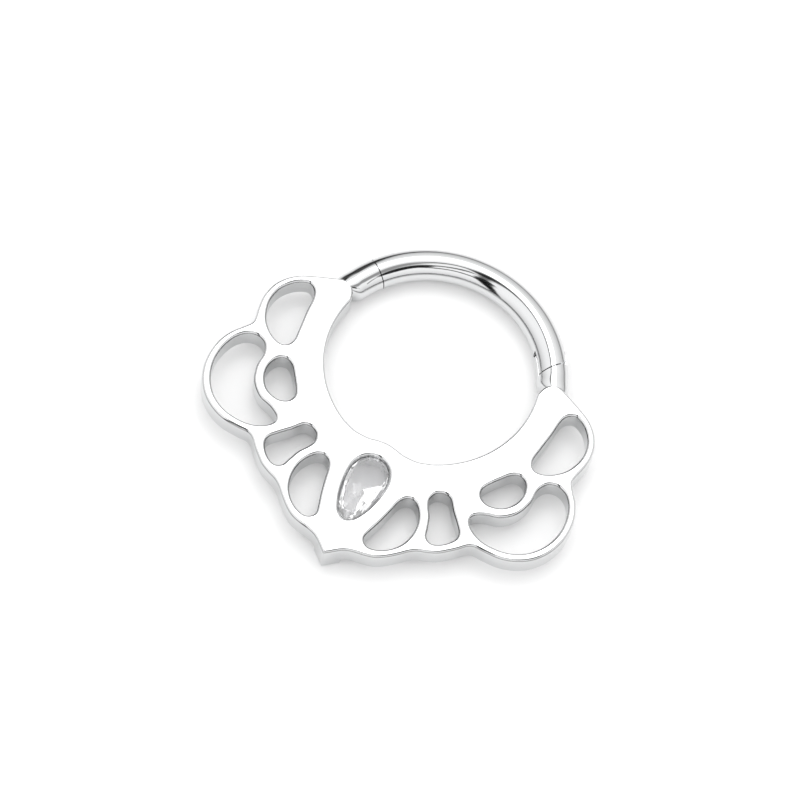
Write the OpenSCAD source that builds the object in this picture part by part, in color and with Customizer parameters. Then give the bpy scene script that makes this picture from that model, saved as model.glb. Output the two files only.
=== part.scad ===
/* [Ring] */
// Inner diameter of the closed ring
ring_bore = 8; // [7:0.5:10]
// Diameter of the round wire
wire_d = 1.2; // [1:0.05:1.3]

/* [Plate] */
// How far each flat face of the plate stands proud of the wire
face_proud = 0.025; // [0.01:0.005:0.06]
// Thickness of the plate
plate_t = 0.95; // [0.9:0.05:1.1]
// Width of the soft polished edge between the flat face and the upright walls
edge_w = 0.09; // [0.05:0.01:0.12]
// Spans drawn between two neighbouring points of an outline
curve_steps = 4; // [3:1:6]

/* [Hinge] */
// Direction of the hinge seam as seen from the ring's centre, in degrees
hinge_seam_az = 30.5; // [28.5:0.5:31.5]
// Distance from the hinge seam to the hinge pin, along the wire
pin_reach = 0.72; // [0.68:0.02:0.8]
// Lean of the hinge seam away from a straight cut across the wire, in degrees
seam_lean = 14; // [8:1:16]
// Diameter of the hinge pin
pin_d = 0.36; // [0.3:0.02:0.4]
// Thickness of the flat tongue that the bar's fork closes over
tongue_t = 0.4; // [0.36:0.02:0.44]

/* [Click] */
// Direction of the click seam as seen from the ring's centre, in degrees
click_seam_az = 144; // [142:0.5:146]
// Width of the click tongue
click_w = 0.3; // [0.2:0.02:0.34]
// Thickness of the click tongue
click_t = 0.4; // [0.3:0.02:0.44]
// How far the click tongue reaches into its socket
click_reach = 0.45; // [0.3:0.05:0.5]

/* [Stone] */
// Gap between the stone's girdle and the wall of its seat
stone_gap = 0.03; // [0.02:0.01:0.06]
// Width of the ledge that carries the stone
ledge_w = 0.14; // [0.1:0.02:0.2]
// Depth of the stone's seat below the plate's face
seat_depth = 0.33; // [0.32:0.01:0.38]
// Height of the stone's crown above its girdle
crown_h = 0.12; // [0.09:0.01:0.12]
// Thickness of the stone's girdle
girdle_t = 0.05; // [0.03:0.01:0.08]
// Slope of the stone's lower facets, in degrees
pavilion_slope = 41; // [36:1:42]
// Width of the stone's table as a share of its girdle
table_share = 0.8; // [0.74:0.02:0.84]

/* [Fits] */
// Radial clearance between the pin and the tongue that turns on it
run_gap = 0.03; // [0.02:0.01:0.05]
// Radial clearance between the pin and the fork that holds it
hold_gap = 0.01; // [0.005:0.005:0.02]
// Gap at the seams and beside the hinge tongue
seam_gap = 0.04; // [0.03:0.01:0.06]
// Clearance all round the click tongue in its socket
click_gap = 0.05; // [0.04:0.01:0.06]

/* [Hidden] */

METAL = [0.84, 0.85, 0.86];
GEM = [0.93, 0.96, 1.0, 0.6];

wire_r = wire_d / 2;
ring_r = ring_bore / 2 + wire_r;
plate_top = wire_r + face_proud;
plate_low = plate_top - plate_t;

// The outlines are drawn for a wire centreline of this radius, and scaled to the ring's own.
drawn_r = 4.6;
fit = ring_r / drawn_r;

// Segments of the large circles, of the wire's section and of the pin and its bores
ring_fn = 128;
wire_fn = 48;
bore_fn = 48;

// Outer edge of the flat face on the +X side, from the wire to the tip: x, y
RIM = [
    [4.05, 0.98], [4.10, 1.18], [4.19, 1.35], [4.31, 1.47], [4.46, 1.53], [4.65, 1.51], [4.86, 1.43],
    [5.12, 1.32], [5.60, 1.11], [6.10, 0.85], [6.48, 0.50], [6.74, 0.05], [6.84, -0.50], [6.78, -1.05],
    [6.69, -1.45], [6.69, -1.75], [6.92, -2.10], [7.20, -2.48], [7.42, -3.00], [7.49, -3.60], [7.42, -4.20],
    [7.20, -4.75], [6.84, -5.22], [6.35, -5.56], [5.80, -5.75], [5.20, -5.79], [4.75, -5.79], [4.48, -5.92],
    [4.20, -6.22], [3.90, -6.50], [3.65, -6.70], [3.30, -6.87], [2.98, -6.99], [2.70, -7.18], [2.40, -7.48],
    [2.05, -7.79], [1.70, -8.01], [1.32, -8.12], [0.98, -8.18], [0.70, -8.26], [0.48, -8.38], [0.30, -8.52],
    [0.14, -8.66], [0.00, -8.77]
];
// Inner edge over the stone, which bows towards the ring's centre, on the +X side: x, y
SILL = [[1.40, -3.87], [1.05, -3.91], [0.70, -3.90], [0.35, -3.82], [0.00, -3.78]];
// Openings on the +X side, at the flat face: x, y
SHOULDER = [
    [5.66, 0.90], [5.32, 0.72], [5.17, 0.35], [5.12, -0.30], [5.02, -1.10], [4.98, -1.60], [5.15, -1.95],
    [5.50, -2.05], [6.00, -1.84], [6.45, -1.37], [6.69, -0.70], [6.66, -0.10], [6.45, 0.35], [6.10, 0.72]
];
SWEEP = [
    [6.36, -2.03], [5.93, -2.18], [5.70, -2.62], [5.69, -3.22], [5.48, -3.82], [5.04, -4.24], [4.50, -4.42],
    [4.10, -4.68], [4.03, -5.02], [4.30, -5.35], [4.80, -5.59], [5.40, -5.64], [6.08, -5.51], [6.72, -5.11],
    [7.18, -4.43], [7.36, -3.60], [7.21, -2.76], [6.85, -2.22]
];
EYE = [
    [4.88, -2.35], [4.58, -2.49], [4.30, -2.84], [3.98, -3.31], [3.86, -3.66], [4.02, -4.01], [4.44, -4.17],
    [4.99, -4.01], [5.35, -3.60], [5.48, -3.10], [5.39, -2.68], [5.19, -2.43]
];
BONE = [
    [2.88, -4.40], [2.65, -4.44], [2.44, -4.60], [2.34, -4.94], [2.45, -5.27], [2.68, -5.65], [2.82, -6.05],
    [2.95, -6.43], [3.22, -6.61], [3.52, -6.56], [3.85, -6.31], [4.09, -5.94], [4.07, -5.60], [3.82, -5.27],
    [3.46, -4.87], [3.15, -4.48]
];
KIDNEY = [
    [1.85, -5.20], [1.58, -5.31], [1.40, -5.60], [1.30, -6.04], [1.17, -6.61], [1.00, -7.18], [0.93, -7.53],
    [1.08, -7.80], [1.38, -7.91], [1.79, -7.79], [2.17, -7.51], [2.46, -7.10], [2.60, -6.59], [2.58, -6.09],
    [2.42, -5.65], [2.15, -5.31]
];
PEAR = [
    [0.00, -4.28], [-0.40, -4.38], [-0.70, -4.67], [-0.86, -5.14], [-0.85, -5.68], [-0.76, -6.23],
    [-0.60, -6.71], [-0.36, -7.14], [0.00, -7.33], [0.36, -7.14], [0.60, -6.71], [0.76, -6.23],
    [0.85, -5.68], [0.86, -5.14], [0.70, -4.67], [0.40, -4.38]
];
OPENINGS = [SHOULDER, SWEEP, EYE, BONE, KIDNEY];
// Outline of the boss behind the stone, which the plate's own outline cuts off at the tip, +X side: x, y
BOSS = [
    [0.00, -3.98], [0.55, -4.12], [0.92, -4.55], [1.06, -5.15], [1.04, -5.80], [0.95, -6.50],
    [0.84, -7.20], [0.70, -7.80], [0.55, -8.30], [0.52, -9.00]
];
// Radius of the flat face's inner edge beside the wire, and the stretch that it covers on each side
inner_face_r = 4.15;
inner_from_az = 12.5;
inner_to_az = -65;
inner_step = 5;

// Where the two stubs start inside the plate's ends, and where the flat tongue starts inside its stub
stub_root_az = 15;
tongue_root_az = 17;

// The seams' gap, as an angle at the ring's centre
gap_az = seam_gap / ring_r * 180 / PI;

pin_r = pin_d / 2;
pin_az = hinge_seam_az + pin_reach / ring_r * 180 / PI;
pin_at = ring_r * [cos(pin_az), sin(pin_az)];
// The pin is pressed in from the back and stops inside the front prong.
pin_low = -sqrt(wire_r * wire_r - pin_r * pin_r);
pin_high_share = 0.72;
pin_high = pin_high_share * wire_r;
// Radius of the tongue's round end about the pin
tongue_end_share = 0.87;
tongue_r = tongue_end_share * wire_r;
// The bar's end is round about the pin on its outer side, so that it clears the stub as it swings out.
bar_end_r = pin_reach * cos(seam_lean) - seam_gap / 2;

// The click seam, seen from the pin that the bar swings about
click_at = ring_r * [cos(click_seam_az), sin(click_seam_az)];
click_swing_r = norm(click_at - pin_at);
click_swing_az = atan2(click_at[1] - pin_at[1], click_at[0] - pin_at[0]);
// How far the click tongue's root lies inside the bar's end
click_root = 0.3;

// The point that the stone's facets run towards
stone_mid = [0, -5.6] * fit;
// Rings of the stone, each with its share of the girdle's size: the kites' side corners, and the
// break in the lower facets
kite_share = (1 + table_share) / 2;
break_share = 0.8;
// How far half a main facet lies inside its corners on a round stone, as a share of the radius
half_step = cos(360 / len(PEAR));
// The stone hangs by the steep small facets under its girdle, just clear of the ledge's inner edge.
hang = tan(pavilion_slope) * (1 - break_share * half_step) / (1 - break_share);
girdle_z = plate_top - seat_depth + (ledge_w - stone_gap) * hang + stone_gap;

// Longer than any part of the ring
far = 20;

// One point of a smooth curve between b and c, with their neighbours a and d
function between(a, b, c, d, t) =
    (2 * b + (c - a) * t + (2 * a - 5 * b + 4 * c - d) * t * t + (3 * b - a - 3 * c + d) * t * t * t) / 2;
// A closed smooth curve through the points p
function loop_through(p) = let (n = len(p)) [
    for (i = [0:n - 1]) for (j = [0:curve_steps - 1])
        between(p[(i + n - 1) % n], p[i], p[(i + 1) % n], p[(i + 2) % n], j / curve_steps)
];
// An open smooth curve through the points p, without its last point
function line_through(p) = let (n = len(p)) [
    for (i = [0:n - 2]) for (j = [0:curve_steps - 1])
        between(p[max(i - 1, 0)], p[i], p[i + 1], p[min(i + 2, n - 1)], j / curve_steps)
];
function reversed(p) = [for (i = [len(p) - 1:-1:0]) p[i]];
function mirrored(p) = [for (v = p) [-v[0], v[1]]];
function unit(v) = v / norm(v);
// Normal on the right of the side from a to b, which points out of a loop drawn anticlockwise
function side_normal(a, b) = let (u = unit(b - a)) [u[1], -u[0]];
// The anticlockwise loop p moved out by d
function swollen(p, d) = let (n = len(p)) [
    for (i = [0:n - 1])
        let (u = side_normal(p[(i + n - 1) % n], p[i]), v = side_normal(p[i], p[(i + 1) % n]))
            p[i] + d * (u + v) / (1 + u * v)
];

rim_line = line_through(RIM);
tip = RIM[len(RIM) - 1];
inner_arc = [for (a = [inner_from_az:-inner_step:inner_to_az]) inner_face_r * [cos(a), sin(a)]];
sill_side = concat([inner_arc[len(inner_arc) - 1]], SILL);
sill_all = concat(sill_side, reversed(mirrored([for (i = [0:len(sill_side) - 2]) sill_side[i]])));
sill_line = line_through(sill_all);
face_loop = concat(
    [tip], reversed(rim_line), [for (i = [0:len(inner_arc) - 2]) inner_arc[i]],
    sill_line, reversed(mirrored(inner_arc)), mirrored(rim_line)
);
wall_loop = fit * swollen(face_loop, edge_w);
// The boss's wall at the tip lies this far inside the plate's.
boss_step = 0.01;
boss_side = line_through(BOSS);

// A stretch of the ring's round wire between two directions
module wire(from_az, to_az) {
    rotate([0, 0, from_az])
        rotate_extrude(angle = to_az - from_az, $fn = ring_fn)
            translate([ring_r, 0]) circle(r = wire_r, $fn = wire_fn);
}

// Puts its children at the hinge pin, with +X along the wire towards the bar and -Y outwards
module at_pin() {
    translate([pin_at[0], pin_at[1], 0]) rotate([0, 0, pin_az + 90]) children();
}

// Everything on the plate's side of the hinge seam
module seam_side() {
    translate([-pin_reach, 0]) rotate([0, 0, seam_lean])
        translate([-far - seam_gap / 2, -far / 2]) square([far, far]);
}

// Everything on the bar's side of the hinge seam, with the round corner on its outer side
module bar_side() {
    foot_az = 180 + seam_lean;
    arc = [for (a = [0:0.1:1]) let (w = foot_az + a * (270 - foot_az)) bar_end_r * [cos(w), sin(w)]];
    inner_end = bar_end_r * [cos(foot_az), sin(foot_az)] + far * [-sin(seam_lean), cos(seam_lean)];
    polygon(concat([inner_end], arc, [[0, -far], [far, -far], [far, far]]));
}

// The click tongue's path, a short arc about the pin, grown by a gap
module click_path(grow) {
    reach_az = (click_reach + grow) / click_swing_r * 180 / PI;
    root_az = click_root / click_swing_r * 180 / PI;
    translate([pin_at[0], pin_at[1], 0])
        rotate([0, 0, click_swing_az - root_az])
            rotate_extrude(angle = reach_az + root_az, $fn = ring_fn)
                translate([click_swing_r, 0]) square([click_w + 2 * grow, click_t + 2 * grow], center = true);
}

module seat_hole() {
    polygon(fit * swollen(loop_through(PEAR), -edge_w - ledge_w));
}

module flat_pattern() {
    difference() {
        polygon(wall_loop);
        for (hole = OPENINGS) {
            edge = fit * swollen(loop_through(hole), -edge_w);
            polygon(edge);
            polygon(reversed(mirrored(edge)));
        }
        seat_hole();
    }
}

// The boss reaches back as far as the plate's face stands forward, so that the ring lies level on it.
module boss_pattern() {
    difference() {
        intersection() {
            polygon(fit * swollen(face_loop, edge_w - boss_step));
            polygon(fit * concat(boss_side, reversed(mirrored(boss_side))));
        }
        seat_hole();
    }
}

module hinge_stub() {
    intersection() {
        wire(stub_root_az, pin_az);
        at_pin() linear_extrude(2 * wire_d, center = true) seam_side();
    }
}

// The flat tongue: a slice of the wire with a round end about the pin
module hinge_tongue() {
    intersection() {
        wire(tongue_root_az, pin_az - gap_az);
        translate([0, 0, -tongue_t / 2]) linear_extrude(tongue_t) square(far, center = true);
    }
    at_pin() linear_extrude(tongue_t, center = true) circle(r = tongue_r, $fn = bore_fn);
}

// The fork's slot, seen from above: it is open on the outer side, where the tongue sweeps through it
module fork_slot() {
    circle(r = tongue_r + seam_gap, $fn = bore_fn);
    translate([-far, -far / 2]) square([far, far]);
    translate([-wire_r, -far]) square([2 * wire_r + seam_gap, far]);
}

module plate() {
    color(METAL) difference() {
        union() {
            translate([0, 0, plate_low]) linear_extrude(plate_t) flat_pattern();
            translate([0, 0, -plate_top]) linear_extrude(plate_top) boss_pattern();
            hinge_stub();
            hinge_tongue();
            wire(click_seam_az + gap_az / 2, 180 - stub_root_az);
        }
        at_pin() cylinder(r = pin_r + run_gap, h = wire_d, center = true, $fn = bore_fn);
        click_path(click_gap);
        translate([0, 0, plate_top - seat_depth])
            linear_extrude(plate_t) polygon(fit * swollen(loop_through(PEAR), -edge_w));
    }
}

module bar() {
    color(METAL) difference() {
        union() {
            intersection() {
                wire(stub_root_az, click_seam_az - gap_az / 2);
                at_pin() linear_extrude(2 * wire_d, center = true) bar_side();
            }
            click_path(0);
        }
        at_pin() {
            linear_extrude(tongue_t + 2 * seam_gap, center = true) fork_slot();
            translate([0, 0, -wire_d])
                cylinder(r = pin_r + hold_gap, h = wire_d + pin_high + hold_gap, $fn = bore_fn);
        }
    }
}

module hinge_pin() {
    color(METAL) at_pin() translate([0, 0, pin_low])
        cylinder(r = pin_r, h = pin_high - pin_low, $fn = bore_fn);
}

module stone() {
    girdle = fit * swollen(PEAR, -edge_w - stone_gap);
    n = len(girdle);
    m = n / 2;
    half_w = max([for (v = girdle) v[0]]);
    pavilion_h = half_w * tan(pavilion_slope);
    function ring(share, z, every, from) = [
        for (i = [from:every:n - 1]) let (v = stone_mid + share * (girdle[i] - stone_mid)) [v[0], v[1], z]
    ];
    table_z = girdle_z + girdle_t + crown_h;
    // Heights that would make each kite and each main lower facet flat on a round stone
    kite_z = girdle_z + girdle_t + crown_h * (1 - kite_share * half_step) / (1 - table_share);
    break_z = girdle_z - pavilion_h * (1 - break_share * half_step);
    points = concat(
        ring(table_share, table_z, 2, 0),
        ring(kite_share, kite_z, 2, 1),
        ring(1, girdle_z + girdle_t, 1, 0),
        ring(1, girdle_z, 1, 0),
        ring(break_share, break_z, 2, 1),
        [[stone_mid[0], stone_mid[1], girdle_z - pavilion_h]]
    );
    kite0 = m;
    top0 = 2 * m;
    low0 = top0 + n;
    break0 = low0 + n;
    culet = break0 + m;
    faces = concat(
        [[for (i = [m - 1:-1:0]) i]],
        [for (i = [0:m - 1]) [i, (i + 1) % m, kite0 + i]],
        [for (i = [0:m - 1]) [i, kite0 + i, top0 + 2 * i]],
        [for (i = [0:m - 1]) [kite0 + i, (i + 1) % m, top0 + (2 * i + 2) % n]],
        [for (i = [0:m - 1]) [top0 + 2 * i, kite0 + i, top0 + 2 * i + 1]],
        [for (i = [0:m - 1]) [top0 + 2 * i + 1, kite0 + i, top0 + (2 * i + 2) % n]],
        [for (i = [0:n - 1]) [top0 + i, top0 + (i + 1) % n, low0 + (i + 1) % n, low0 + i]],
        [for (i = [0:m - 1]) [low0 + 2 * i, low0 + 2 * i + 1, break0 + i]],
        [for (i = [0:m - 1]) [low0 + 2 * i + 1, low0 + (2 * i + 2) % n, break0 + i]],
        [for (i = [0:m - 1]) [low0 + (2 * i + 2) % n, break0 + (i + 1) % m, break0 + i]],
        [for (i = [0:m - 1]) [break0 + i, break0 + (i + 1) % m, culet]]
    );
    color(GEM) polyhedron(points = points, faces = faces, convexity = 4);
}

plate();
bar();
hinge_pin();
stone();
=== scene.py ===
import math

import bmesh
import bpy
from mathutils import Matrix, Vector


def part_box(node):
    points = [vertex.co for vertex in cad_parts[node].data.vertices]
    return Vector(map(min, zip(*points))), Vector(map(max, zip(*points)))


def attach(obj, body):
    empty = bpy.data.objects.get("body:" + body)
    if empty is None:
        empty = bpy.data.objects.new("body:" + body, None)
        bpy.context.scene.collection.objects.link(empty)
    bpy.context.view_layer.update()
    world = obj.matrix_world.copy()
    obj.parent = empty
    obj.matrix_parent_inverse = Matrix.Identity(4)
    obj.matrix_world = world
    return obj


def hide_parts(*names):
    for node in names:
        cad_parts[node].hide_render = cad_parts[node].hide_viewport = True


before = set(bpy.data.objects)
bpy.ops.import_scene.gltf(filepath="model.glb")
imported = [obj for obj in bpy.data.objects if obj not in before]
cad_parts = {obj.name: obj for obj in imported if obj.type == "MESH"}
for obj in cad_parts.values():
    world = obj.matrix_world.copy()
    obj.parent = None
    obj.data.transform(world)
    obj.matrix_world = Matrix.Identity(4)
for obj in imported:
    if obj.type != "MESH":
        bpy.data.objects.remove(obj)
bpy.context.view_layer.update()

# Shapes are worked out in millimetres and brought to metres at the end.
MM = 0.001

# Width of the soft polished edge round the plate's flat faces
EDGE_W = 0.11
# The edge's curve from the wall to the face, as shares of its width: how far in, and how far from the face
EDGE_CURVE = (
    (0, 1),
    (0.02, 0.84),
    (0.07, 0.7),
    (0.32, 0.32),
    (0.46, 0.19),
    (0.62, 0.09),
    (0.8, 0.02),
    (1, 0),
)

# Sides of the wire's smooth surface, and the length of its steps in degrees
WIRE_SIDES = 96
WIRE_SPAN = 1.0
# The solid's facets are pushed out by this share before the smooth surface cuts them.
SWELL = 1.08
# How far from the wire's surface a point of the faceted solid may lie and still be on it
FACET_SAG = 0.02
# Directions, in degrees, between which the two stubs and the bar lie
HINGE_STUB = (15.3, 52.0)
CLICK_STUB = (130.0, 164.7)
BAR_SPAN = (18.0, 160.0)
# How far from the ring's top, in degrees, the wire starts to flatten and is flush with the plate
WIRE_FLATTENS = (63.0, 70.5)
# The power of the flattened top's section, which is 1 for a round one
FLAT_POWER = 0.75
# How far from the ring's top, in degrees, the wire's inner half starts to round off and is closed
WIRE_CLOSES = (66.0, 72.5)
# The share of its width that the inner half keeps at least
INNER_LEAST = 0.05

# Surfaces that meet at less than this angle, in degrees, are one smooth surface.
SMOOTH_ANGLE = 32
# How far from the wire's surface a point may lie, and the least cosine between the face and the surface,
# for the face to get the wire's exact normals
EXACT_SAG = 0.0005
EXACT_COSINE = 0.9

# Distance below which two points are one
SNAP = 1e-4
# The least cosine between a flat face and the level, and how far its points may lie from its height
LEVEL_COSINE = 0.999
LEVEL_SAG = 0.001
# Decimals to which the heights of flat faces are told apart
HEIGHT_DIGITS = 4
# Points of the boss's outline that lie closer than this to the one before are left out, so that it can be
# moved inwards.
CROWDED = 0.06
# An outline that turns by more than this at a point, in radians, has a sharp corner there.
CORNER_ANGLE = 0.7
# The stone's seat lies within this distance of its middle.
SEAT_REACH = 2


def in_mm(corner):
    return Vector(corner) / MM


plate_low, plate_high = (in_mm(c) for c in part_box("plate"))
bar_high = in_mm(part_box("bar")[1])
wire_r = bar_high.z
ring_r = bar_high.y - wire_r


def direction(az, el):
    """The unit vector towards an azimuth (0 towards -Y, 90 towards +X) and an elevation, in degrees."""
    az, el = math.radians(az), math.radians(el)
    return Vector((math.sin(az) * math.cos(el), -math.cos(az) * math.cos(el), math.sin(el)))


# Mesh tools

def cad_solid(node):
    """The node's mesh in millimetres as a bmesh, with its double points joined."""
    bm = bmesh.new()
    bm.from_mesh(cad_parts[node].data)
    bmesh.ops.scale(bm, vec=(1 / MM, 1 / MM, 1 / MM), verts=bm.verts)
    bmesh.ops.remove_doubles(bm, verts=bm.verts, dist=SNAP)
    return bm


def as_object(name, bm):
    """A new object with the bmesh, which is used up."""
    mesh = bpy.data.meshes.new(name)
    bm.to_mesh(mesh)
    bm.free()
    obj = bpy.data.objects.new(name, mesh)
    bpy.context.scene.collection.objects.link(obj)
    return obj


def settle(obj):
    """Gives the object the mesh that its modifiers make, and takes them off."""
    evaluated = obj.evaluated_get(bpy.context.evaluated_depsgraph_get())
    mesh = bpy.data.meshes.new_from_object(evaluated)
    obj.modifiers.clear()
    obj.data = mesh


def combine(obj, other, operation):
    """Joins, cuts or intersects obj with the other object, which is used up."""
    modifier = obj.modifiers.new("combine", "BOOLEAN")
    modifier.operation = operation
    modifier.solver = "MANIFOLD"
    modifier.object = other
    settle(obj)
    bpy.data.objects.remove(other)
    return obj


def to_metres(obj):
    obj.data.transform(Matrix.Scale(MM, 4))


# The round wire

def centreline(point):
    """The nearest point of the wire's centreline."""
    flat = Vector((point.x, point.y, 0))
    return flat * (ring_r / flat.length)


def way_through(point, span):
    """How far through a span, from 0 to 1, the point's direction is. The span counts from the ring's top."""
    aside = abs(math.degrees(math.atan2(point.y, point.x)) - 90)
    return min(max((aside - span[0]) / (span[1] - span[0]), 0), 1)


def wire_ring(bm, out):
    """The points round the wire. Near the plate its top flattens and its inner half closes."""
    share = way_through(out, WIRE_FLATTENS)
    share = share * share * (3 - 2 * share)
    high = wire_r + (plate_high.z - wire_r) * share
    power = 1 + (FLAT_POWER - 1) * share
    inner = max(math.sqrt(1 - way_through(out, WIRE_CLOSES) ** 2), INNER_LEAST)
    ring = []
    for k in range(WIRE_SIDES):
        t = 2 * math.pi * k / WIRE_SIDES
        side, rise = math.cos(t), math.sin(t)
        side *= wire_r * (inner if side < 0 else 1)
        rise = high * rise ** power if rise > 0 else wire_r * rise
        ring.append(bm.verts.new(out * (ring_r + side) + Vector((0, 0, rise))))
    return ring


def wire_tube(from_az, to_az):
    """A smooth closed stretch of the wire. The directions count from +X, anticlockwise."""
    bm = bmesh.new()
    count = round((to_az - from_az) / WIRE_SPAN)
    rings = []
    for i in range(count + 1):
        az = math.radians(from_az + (to_az - from_az) * i / count)
        rings.append(wire_ring(bm, Vector((math.cos(az), math.sin(az), 0))))
    for low, high in zip(rings, rings[1:]):
        for k in range(WIRE_SIDES):
            j = (k + 1) % WIRE_SIDES
            bm.faces.new((low[k], high[k], high[j], low[j]))
    bm.faces.new(rings[0])
    bm.faces.new(reversed(rings[-1]))
    bmesh.ops.recalc_face_normals(bm, faces=bm.faces)
    return as_object("tube", bm)


def smooth_wire(node, from_az, to_az):
    """What a CAD solid has of the round wire between two directions, with a smooth surface."""
    bm = cad_solid(node)
    for vert in bm.verts:
        middle = centreline(vert.co)
        if abs((vert.co - middle).length - wire_r) < FACET_SAG:
            vert.co = middle + (vert.co - middle) * SWELL
    return combine(as_object(node, bm), wire_tube(from_az, to_az), "INTERSECT")


def on_wire(face, outward):
    """Whether a face lies on the round wire. Its points are given as seen from the wire's centreline."""
    if any(abs(v.length - wire_r) >= EXACT_SAG for v in outward):
        return False
    return face.normal.dot(outward[0]) > EXACT_COSINE * wire_r


def shade(obj):
    """Smooth shading between sharp edges. The wire's surface gets its exact normals."""
    obj.data.shade_smooth()
    obj.data.set_sharp_from_angle(angle=math.radians(SMOOTH_ANGLE))
    modifier = obj.modifiers.new("weighted", "WEIGHTED_NORMAL")
    modifier.keep_sharp = True
    settle(obj)
    mesh = obj.data
    normals = [corner.vector.copy() for corner in mesh.corner_normals]
    for face in mesh.polygons:
        points = [mesh.vertices[v].co for v in face.vertices]
        outward = [point - centreline(point) for point in points]
        if on_wire(face, outward):
            for corner, normal in zip(face.loop_indices, outward):
                normals[corner] = normal.normalized()
    mesh.normals_split_custom_set(normals)


# Outlines of flat faces

def flat_faces(bm, height, up):
    """The faces that lie flat at a height and face up (1) or down (-1)."""
    return {
        face for face in bm.faces
        if face.normal.z * up > LEVEL_COSINE and all(abs(v.co.z - height) < LEVEL_SAG for v in face.verts)
    }


def outlines(faces):
    """The closed outlines of a set of flat faces, each a list of points with the metal on its left."""
    after = {}
    for face in faces:
        for loop in face.loops:
            if sum(f in faces for f in loop.edge.link_faces) == 1:
                after[loop.vert] = loop.link_loop_next.vert
    found = []
    while after:
        vert = min(after, key=lambda v: (v.co.x, v.co.y))
        points = []
        while vert in after:
            points.append(vert.co.xy.copy())
            vert = after.pop(vert)
        found.append(points)
    return found


def turn_at(points, i):
    """How far the outline turns at its point i, in radians."""
    a = points[i] - points[i - 1]
    b = points[(i + 1) % len(points)] - points[i]
    return abs(a.angle_signed(b))


def spaced(points):
    """The outline without the points that crowd round a corner."""
    kept = [points[0]]
    for point in points[1:]:
        if (point - kept[-1]).length > CROWDED:
            kept.append(point)
    return kept


def finer(points):
    """The outline with a point of its smooth curve added on each side. A sharp corner stays sharp."""
    count = len(points)
    corner = [turn_at(points, i) > CORNER_ANGLE for i in range(count)]
    result = []
    for i in range(count):
        j = (i + 1) % count
        b, c = points[i], points[j]
        added = (b + c) / 2
        if not (corner[i] or corner[j]):
            a, d = points[i - 1], points[(i + 2) % count]
            added = (9 * (b + c) - a - d) / 16
        result.extend([b, added])
    return result


def inset(points, distance):
    """The outline moved sideways into the metal on its left."""
    moved = []
    for i, point in enumerate(points):
        before = (point - points[i - 1]).normalized()
        behind = (points[(i + 1) % len(points)] - point).normalized()
        a = Vector((-before.y, before.x))
        b = Vector((-behind.y, behind.x))
        moved.append(point + (a + b) * (distance / (1 + a.dot(b))))
    return moved


def middle_of(points):
    return sum(points, Vector((0, 0))) / len(points)


# Walls and flat faces

def soft_edge(height, side):
    """Steps of (inset, height) over a soft edge, from the wall to the face above (1) or below (-1)."""
    return [(EDGE_W * moved, height - side * EDGE_W * left) for moved, left in EDGE_CURVE]


def add_wall(bm, points, steps):
    """A wall that follows an outline upwards through steps of (inset, height). Returns its end rings."""
    rings = [[bm.verts.new((*p, z)) for p in inset(points, d)] for d, z in steps]
    count = len(points)
    for low, high in zip(rings, rings[1:]):
        for i in range(count):
            j = (i + 1) % count
            bm.faces.new((low[i], low[j], high[j], high[i]))
    return rings[0], rings[-1]


def add_flat(bm, rings, up):
    """A flat face between closed rings of points."""
    edges = set()
    for ring in rings:
        for i, vert in enumerate(ring):
            pair = (vert, ring[(i + 1) % len(ring)])
            edges.add(bm.edges.get(pair) or bm.edges.new(pair))
    bmesh.ops.triangle_fill(bm, edges=list(edges), use_beauty=True, normal=(0, 0, up))


# The plate

def back_height(source):
    """The height of the flat plate's own back, the largest flat face that looks down."""
    areas = {}
    for face in source.faces:
        if face.normal.z < -LEVEL_COSINE:
            height = round(face.calc_center_median().z, HEIGHT_DIGITS)
            areas[height] = areas.get(height, 0) + face.calc_area()
    return max(areas, key=areas.get)


def ledge_height(source, seat):
    """The height of the ledge in the stone's seat, the only flat face inside the seat's outline."""
    middle = middle_of(seat)
    low, high = -EDGE_W, plate_high.z - EDGE_W
    for face in source.faces:
        place = face.calc_center_median()
        inside = low < place.z < high and (place.xy - middle).length < SEAT_REACH
        if face.normal.z > LEVEL_COSINE and inside:
            return place.z


def soft_slab(source):
    """The flat plate with its openings and the stone's seat, its flat faces' edges softened."""
    top, bottom = plate_high.z, back_height(source)
    upper = outlines(flat_faces(source, top, 1))
    stone_low, stone_high = (in_mm(c).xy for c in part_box("stone"))
    seat = min(upper, key=lambda p: (middle_of(p) - (stone_low + stone_high) / 2).length)
    ledge_z = ledge_height(source, seat)
    # The ledge's inner outline is the narrower one.
    hole = min(outlines(flat_faces(source, ledge_z, 1)), key=lambda p: max(q.x for q in p))
    top_edge = soft_edge(top, 1)
    bottom_edge = list(reversed(soft_edge(bottom, -1)))

    bm = bmesh.new()
    top_rings, bottom_rings = [], []
    for points in upper:
        if points is not seat:
            low, high = add_wall(bm, finer(points), bottom_edge + top_edge)
            bottom_rings.append(low)
            top_rings.append(high)
    seat_low, seat_high = add_wall(bm, finer(seat), [(0, ledge_z)] + top_edge)
    hole_low, hole_high = add_wall(bm, finer(hole), bottom_edge + [(0, ledge_z)])
    add_flat(bm, top_rings + [seat_high], 1)
    add_flat(bm, bottom_rings + [hole_low], -1)
    add_flat(bm, [seat_low, hole_high], 1)
    bmesh.ops.recalc_face_normals(bm, faces=bm.faces)
    return as_object("plate_polished", bm)


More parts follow.
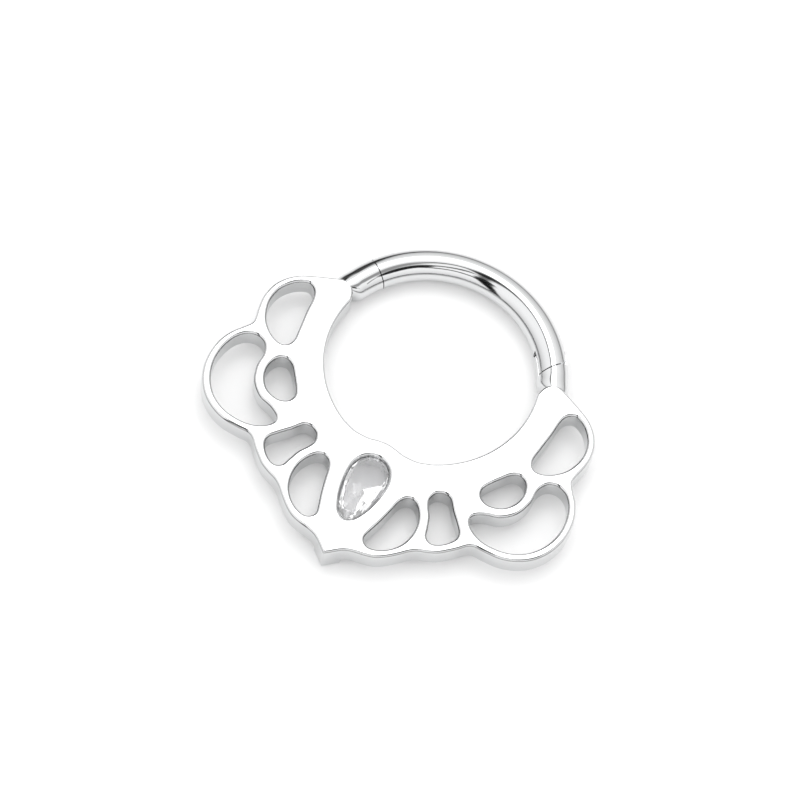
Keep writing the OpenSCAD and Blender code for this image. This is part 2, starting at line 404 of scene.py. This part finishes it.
def boss(source):
    """The boss behind the stone, with the end of the hole. It reaches up past the plate's soft edge."""
    bm = bmesh.new()
    steps = list(reversed(soft_edge(plate_low.z, -1)))
    steps.append((0, back_height(source) + EDGE_W))
    # Seen from above, the outlines of a face that looks down have the metal on their right.
    back = outlines(flat_faces(source, plate_low.z, -1))
    walls = [add_wall(bm, finer(spaced(points[::-1])), steps) for points in back]
    add_flat(bm, [low for low, high in walls], -1)
    add_flat(bm, [high for low, high in walls], 1)
    bmesh.ops.recalc_face_normals(bm, faces=bm.faces)
    return as_object("boss", bm)


cad_plate = cad_solid("plate")
plate = soft_slab(cad_plate)
combine(plate, boss(cad_plate), "UNION")
cad_plate.free()
for span in (HINGE_STUB, CLICK_STUB):
    combine(plate, smooth_wire("plate", *span), "UNION")
shade(plate)
to_metres(plate)
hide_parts("plate")
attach(plate, "front")


# The bar

bar = smooth_wire("bar", *BAR_SPAN)
bar.name = "bar_polished"
shade(bar)
to_metres(bar)
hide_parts("bar")
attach(bar, "swing_bar")


# Shader nodes

WHITE = (1, 1, 1, 1)
NOISE_DETAIL = 3
# The useful part of a noise
NOISE_SPAN = (0.3, 0.7)


class Shading:
    """Short words for the nodes of one node tree."""

    def __init__(self, tree):
        self.nodes = tree.nodes
        self.links = tree.links

    def feed(self, node, inputs):
        """Links what comes from other nodes, and sets constants on the node's own sockets."""
        for name, value in inputs.items():
            if isinstance(value, bpy.types.NodeSocket):
                self.links.new(value, node.inputs[name])
            else:
                node.inputs[name].default_value = value

    def add(self, kind, inputs, **settings):
        """A new node with its settings and inputs."""
        node = self.nodes.new("ShaderNode" + kind)
        for name, value in settings.items():
            setattr(node, name, value)
        self.feed(node, inputs)
        return node

    def vector(self, operation, *values, result="Vector"):
        """A step of arithmetic with vectors."""
        second = "Scale" if operation == "SCALE" else 1
        inputs = dict(zip((0, second), values))
        return self.add("VectorMath", inputs, operation=operation).outputs[result]

    def dot(self, a, b):
        return self.vector("DOT_PRODUCT", a, b, result="Value")

    def number(self, operation, a, b, clamp=False):
        """A step of arithmetic with numbers."""
        return self.add("Math", {0: a, 1: b}, operation=operation, use_clamp=clamp).outputs["Value"]

    def ranged(self, value, span, levels, shape="LINEAR"):
        """A value brought from a span of values to a range of levels."""
        inputs = {
            "Value": value,
            "From Min": span[0],
            "From Max": span[1],
            "To Min": levels[0],
            "To Max": levels[1],
        }
        return self.add("MapRange", inputs, interpolation_type=shape).outputs["Result"]

    def fade(self, value, span, levels):
        """A level that changes smoothly as the value goes through the span."""
        return self.ranged(value, span, levels, "SMOOTHSTEP")

    def mix(self, share, a, b, kind="FLOAT"):
        return self.add("Mix", {"Factor": share, "A": a, "B": b}, data_type=kind).outputs["Result"]

    def noise(self, scale, stretch=(1, 1, 1)):
        """A noise of so many features a millimetre, on the object's own coordinates."""
        place = self.add("TexCoord", {}).outputs["Object"]
        size = [s * scale / MM for s in stretch]
        mapped = self.add("Mapping", {"Vector": place, "Scale": size}).outputs["Vector"]
        texture = self.add("TexNoise", {"Vector": mapped, "Scale": 1, "Detail": NOISE_DETAIL})
        return texture.outputs["Fac"]

    def uneven(self, scale, levels):
        """A level that varies over the surface, with so many features a millimetre."""
        return self.ranged(self.noise(scale), NOISE_SPAN, levels)


def new_material(name):
    """A new material, its shading and its shader."""
    material = bpy.data.materials.new(name)
    material.use_nodes = True
    shading = Shading(material.node_tree)
    return material, shading, shading.nodes["Principled BSDF"]


def dress(obj, material):
    obj.data.materials.clear()
    obj.data.materials.append(material)


# The steel

# Its colour in the open, and its colour with painted shade deep inside a narrow gap, where the seams are in
# shadow
STEEL_OPEN = (0.70, 0.705, 0.71, 1)
STEEL_PAINTED_SHADE = (0.5, 0.5, 0.5, 1)
# How wide such a gap is in millimetres, and the openness that counts as deep and as open for the painted
# shade
GAP_WIDTH = 0.06
GAP_SPAN = (0.3, 0.7)
GAP_SAMPLES = 4
# Its uneven gloss: features a millimetre, and roughness
GLOSS_SCALE = 1.2
GLOSS = (0.05, 0.1)
# Its buffing lines: features a millimetre, how much finer they are across, and their depth in millimetres
LINE_SCALE = 2
LINE_STRETCH = (1, 1, 6)
LINE_DEPTH = 0.0006


def steel_material():
    """Mirror-polished steel with faint buffing lines, and painted shade inside the seams."""
    material, shading, shader = new_material("steel")
    # Painted shade: the base colour darkens where an ambient occlusion node finds a narrow gap, standing for
    # the seams' shadow.
    gap = shading.add("AmbientOcclusion", {"Distance": GAP_WIDTH * MM}, samples=GAP_SAMPLES)
    openness = shading.ranged(gap.outputs["AO"], GAP_SPAN, (0, 1))
    lines = shading.noise(LINE_SCALE, LINE_STRETCH)
    buffing = shading.add("Bump", {"Distance": LINE_DEPTH * MM, "Height": lines})
    shading.feed(shader, {
        "Base Color": shading.mix(openness, STEEL_PAINTED_SHADE, STEEL_OPEN, "RGBA"),
        "Metallic": 1,
        "Roughness": shading.uneven(GLOSS_SCALE, GLOSS),
        "Normal": buffing.outputs["Normal"],
    })
    return material


# The stone

STONE_COLOUR = (0.99, 0.99, 1, 1)
STONE_IOR = 1.4
# Its faint glow, painted light which stands for the bright room that its real facets gather
STONE_PAINTED_GLOW = 0.06
# Its rubbed facets: features a millimetre, and roughness
RUB_SCALE = 4
RUB = (0.0, 0.03)


def stone_material():
    """A clear stone with sharp, slightly rubbed facets and a faint painted glow."""
    material, shading, shader = new_material("crystal")
    shading.feed(shader, {
        "Base Color": STONE_COLOUR,
        "Transmission Weight": 1,
        "IOR": STONE_IOR,
        # Painted light: the stone glows faintly, standing for the light that its facets gather.
        "Emission Color": WHITE,
        "Emission Strength": STONE_PAINTED_GLOW,
        "Roughness": shading.uneven(RUB_SCALE, RUB),
    })
    return material


steel = steel_material()
dress(plate, steel)
dress(bar, steel)
for node, material in (("hinge_pin", steel), ("stone", stone_material())):
    for material_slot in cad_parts[node].material_slots:
        material_slot.material = material


# The floor

# Half its width in millimetres
FLOOR_HALF = 300
# Its glow, painted light that lightens the shade round the ring, and its share of white, as the camera sees
# them and as the metal mirrors them
SEEN_PAINTED_GLOW = 0.2
SEEN_WHITE = 0.78
MIRRORED_PAINTED_GLOW = 0.0
MIRRORED_WHITE = 0.98
# Painted shade on the mirrored floor: what is left of it at a low angle, and the facing values between which
# it fades
MIRRORED_LOW_SHADE = 0.35
LOW_SPAN = (0.65, 1.0)
# Its grain: features a millimetre, roughness, and the weak gloss
GRAIN_SCALE = 0.5
GRAIN = (0.55, 0.65)
FLOOR_GLOSS = 0.2


def floor_material():
    """A white table with a painted glow, and painted shade where the metal mirrors it at a low angle."""
    material, shading, shader = new_material("table")
    facing = shading.add("LayerWeight", {}).outputs["Facing"]
    camera_ray = shading.add("LightPath", {}).outputs["Is Camera Ray"]

    def either(mirrored, seen):
        """A level as the metal mirrors it, which fades into painted shade at a low angle, or as the camera
        sees it.
        """
        fading = shading.fade(facing, LOW_SPAN, (mirrored, mirrored * MIRRORED_LOW_SHADE))
        return shading.mix(camera_ray, fading, seen)

    shading.feed(shader, {
        "Base Color": either(MIRRORED_WHITE, SEEN_WHITE),
        # Painted light: the table glows, which lightens the shade round the ring.
        "Emission Color": WHITE,
        "Emission Strength": either(MIRRORED_PAINTED_GLOW, SEEN_PAINTED_GLOW),
        "Roughness": shading.uneven(GRAIN_SCALE, GRAIN),
        "Specular IOR Level": FLOOR_GLOSS,
    })
    return material


def floor():
    """A wide table under the ring's lowest point."""
    bm = bmesh.new()
    bmesh.ops.create_grid(bm, x_segments=1, y_segments=1, size=FLOOR_HALF)
    bmesh.ops.translate(bm, vec=(0, 0, plate_low.z), verts=bm.verts)
    obj = as_object("floor", bm)
    to_metres(obj)
    dress(obj, floor_material())


floor()


# The studio round the ring, which the metal mirrors: bright panels with soft dark gaps, a camera and its arm

# The room's axis, which leans to the front, its level down and up along it, and the angles where it rises
ROOM_AXIS = (17, 78)
ROOM_LEVELS = (0.92, 1.6)
ROOM_RISE = (-10, 55)
# The room is darker close to the table: the share of light left there, and the elevations where it rises
SKIRT_LEFT = 0.36
SKIRT_RISE = (1, 7)
# The lamp: direction, level, and the angles at which it starts to fade and ends
LAMP = (-163, 63)
LAMP_LEVEL = 4
LAMP_FADE = (8, 18)
# Dark strips: directions along each as (azimuth, elevation), half width, softness, and share of light left
STRIPS = [
    ([(-86, 80), (-100, 76), (-116, 71), (-121, 64), (-127, 61), (-131, 45), (-136, 28)], 3, 3, 0.13),
    ([(-134, 28), (-139, 8)], 9, 9, 0.1),
    ([(-145, 8), (-152, 4)], 6, 9, 0.22),
    ([(-156, 4), (-168, 4)], 5, 8, 0.65),
    ([(-32, 76), (-67, 80), (-90, 79)], 5, 4, 0.1),
    ([(50, 81), (34, 84), (-27, 84), (-50, 80)], 3.5, 4, 0.2),
    ([(-32, 76), (-19, 66), (-13, 56)], 3, 3, 0.15),
    ([(-13, 50), (-10, 38)], 6.5, 3, 0.02),
    ([(-10, 38), (-14, 23)], 6, 3, 0.02),
    ([(-14, 23), (-18, 10), (-20, 3)], 5, 4, 0.04),
    ([(67, 48), (57, 52), (50, 54)], 10, 4, 0.02),
    ([(86, 32), (82, 42)], 1.5, 2, 0.15),
    ([(44, 47), (30, 42), (14, 42), (0, 41)], 3, 3, 0.08),
    ([(34, 59), (23, 60), (13, 62), (0, 66)], 3.5, 3, 0.12),
    ([(84, 72), (90, 64), (104, 59), (113, 58)], 10, 9, 0.32),
]


def sines(angles):
    """The sines of angles in degrees."""
    return [math.sin(math.radians(a)) for a in angles]


def room_level(shading, ray):
    """The light of the room in the ray's direction."""
    level = shading.fade(shading.dot(ray, direction(*ROOM_AXIS)), sines(ROOM_RISE), ROOM_LEVELS)
    skirt = shading.fade(shading.dot(ray, (0, 0, 1)), sines(SKIRT_RISE), (SKIRT_LEFT, 1))
    return shading.number("MULTIPLY", level, skirt)


def lamp_light(shading, ray):
    """The light that the lamp adds."""
    near, far = (math.cos(math.radians(a)) for a in LAMP_FADE)
    along = shading.dot(ray, direction(*LAMP))
    return shading.fade(along, (far, near), (0, LAMP_LEVEL - ROOM_LEVELS[1]))


def distance_to_line(shading, ray, a, b):
    """How far the ray's direction is from the line between two directions."""
    run = b - a
    share = shading.dot(shading.vector("SUBTRACT", ray, a), run / run.length_squared)
    step = shading.vector("SCALE", run, shading.number("ADD", share, 0, clamp=True))
    return shading.vector("DISTANCE", shading.vector("ADD", step, a), ray, result="Value")


def strip_share(shading, ray, points, half_width, softness, left):
    """The share of light that a dark strip leaves."""
    towards = [direction(*p) for p in points]
    gap = None
    for a, b in zip(towards, towards[1:]):
        part = distance_to_line(shading, ray, a, b)
        gap = part if gap is None else shading.number("MINIMUM", gap, part)
    inner = math.radians(half_width - softness / 2)
    outer = math.radians(half_width + softness / 2)
    return shading.fade(gap, (inner, outer), (left, 1))


def studio():
    """The world: the room for the metal and the table, and plain white for the camera itself."""
    world = bpy.data.worlds.new("studio")
    bpy.context.scene.world = world
    world.use_nodes = True
    world.node_tree.nodes.clear()
    shading = Shading(world.node_tree)
    ray = shading.vector("NORMALIZE", shading.add("TexCoord", {}).outputs["Generated"])
    level = shading.number("ADD", room_level(shading, ray), lamp_light(shading, ray))
    for strip in STRIPS:
        level = shading.number("MULTIPLY", level, strip_share(shading, ray, *strip))
    lit = shading.add("Background", {"Strength": level})
    plain = shading.add("Background", {"Color": WHITE})
    camera_ray = shading.add("LightPath", {}).outputs["Is Camera Ray"]
    inputs = {0: camera_ray, 1: lit.outputs["Background"], 2: plain.outputs["Background"]}
    either = shading.add("MixShader", inputs)
    shading.add("OutputWorld", {"Surface": either.outputs["Shader"]})


# The soft lamp overhead lights the table alone, which the metal mirrors.
OVERHEAD_LIGHT = 0.7
OVERHEAD_ANGLE = 60


def overhead():
    """The lamp overhead, which neither the camera nor the metal sees."""
    light = bpy.data.lights.new("overhead", "SUN")
    light.energy = OVERHEAD_LIGHT
    light.angle = math.radians(OVERHEAD_ANGLE)
    obj = bpy.data.objects.new("overhead", light)
    obj.visible_camera = False
    obj.visible_glossy = False
    obj.visible_transmission = False
    bpy.context.scene.collection.objects.link(obj)


studio()
overhead()
bpy.context.scene.view_settings.view_transform = "Standard"


# The camera

# Direction from the target and turn about the view, in degrees
CAMERA_AZ = 17.225
CAMERA_EL = 63.287
CAMERA_ROLL = 11.258
# Distance from the target, and the target, in millimetres
CAMERA_DISTANCE = 214.49
CAMERA_TARGET = Vector((-0.50999, -1.57476, 0))
# Focal length and sensor width, in millimetres
CAMERA_LENS = 256.923
CAMERA_SENSOR = 36
# What the camera sees starts and ends this far away, in metres.
CAMERA_CLIP = (0.01, 10)


def camera():
    """The photo's camera, fitted to the ring's circles, wire and outline in the photo."""
    back = direction(CAMERA_AZ, CAMERA_EL)
    level_right = Vector((0, 0, 1)).cross(back).normalized()
    level_up = back.cross(level_right)
    roll = math.radians(CAMERA_ROLL)
    right = math.cos(roll) * level_right + math.sin(roll) * level_up
    up = back.cross(right)
    place = (CAMERA_TARGET + CAMERA_DISTANCE * back) * MM
    data = bpy.data.cameras.new("camera")
    data.lens = CAMERA_LENS
    data.sensor_width = CAMERA_SENSOR
    data.clip_start, data.clip_end = CAMERA_CLIP
    obj = bpy.data.objects.new("camera", data)
    obj.matrix_world = Matrix.Translation(place) @ Matrix((right, up, back)).transposed().to_4x4()
    bpy.context.scene.collection.objects.link(obj)
    bpy.context.scene.camera = obj


camera()
